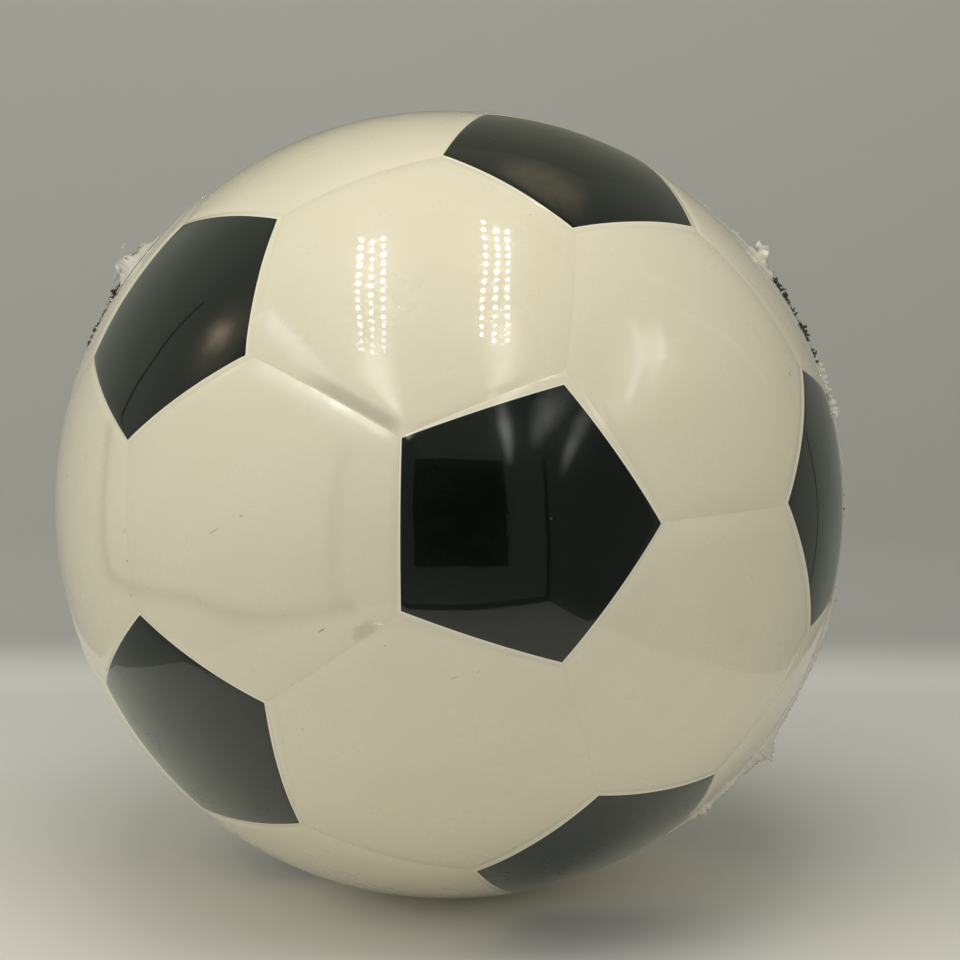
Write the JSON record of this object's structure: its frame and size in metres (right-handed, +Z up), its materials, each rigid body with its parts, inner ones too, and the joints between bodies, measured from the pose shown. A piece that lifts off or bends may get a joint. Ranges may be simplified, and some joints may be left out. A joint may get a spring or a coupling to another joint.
{
  "type": "soccer ball",
  "caption": "Round soccer ball of glossy black pentagon and cream hexagon panels glued over a carcass, with an inner bladder and a needle valve.",
  "frame": {"origin": "centre of the ball", "axes": "+Z up as the ball rests, on a floor 0.11 m below the origin; -Y toward the viewer of the most fully seen pentagon; the ball is alike about every axis except for its panels and valve"},
  "size_m": [0.2192, 0.2196, 0.2194],
  "materials": {
    "black_film": "gloss",
    "cream_film": "gloss",
    "carcass_rubber": "matte",
    "winding_nylon": "matte",
    "bladder_butyl": "satin",
    "patch_rubber": "matte",
    "valve_rubber": "satin",
    "core_rubber": "satin"
  },
  "bodies": {
    "ball": {"pentagon_panel_01": "black_film", "pentagon_panel_02": "black_film", "pentagon_panel_03": "black_film", "pentagon_panel_04": "black_film", "pentagon_panel_05": "black_film", "pentagon_panel_06": "black_film", "pentagon_panel_07": "black_film", "pentagon_panel_08": "black_film", "pentagon_panel_09": "black_film", "pentagon_panel_10": "black_film", "pentagon_panel_11": "black_film", "pentagon_panel_12": "black_film", "hexagon_panel_01": "cream_film", "hexagon_panel_02": "cream_film", "hexagon_panel_03": "cream_film", "hexagon_panel_04": "cream_film", "hexagon_panel_05": "cream_film", "hexagon_panel_06": "cream_film", "hexagon_panel_07": "cream_film", "hexagon_panel_08": "cream_film", "hexagon_panel_09": "cream_film", "hexagon_panel_10": "cream_film", "hexagon_panel_11": "cream_film", "hexagon_panel_12": "cream_film", "hexagon_panel_13": "cream_film", "hexagon_panel_14": "cream_film", "hexagon_panel_15": "cream_film", "hexagon_panel_16": "cream_film", "hexagon_panel_17": "cream_film", "hexagon_panel_18": "cream_film", "hexagon_panel_19": "cream_film", "hexagon_panel_20": "cream_film", "rubber_carcass": "carcass_rubber", "nylon_winding": "winding_nylon", "bladder": "bladder_butyl", "valve_patch": "patch_rubber", "valve_body": "valve_rubber"},
    "valve_core": {"valve_core": "core_rubber"}
  },
  "joints": [
    {"name": "valve_core_slide", "type": "slide", "parent": "ball", "child": "valve_core", "axis": [0.2432, 0.3552, 0.9026], "range_m": [0, 0.018]}
  ]
}
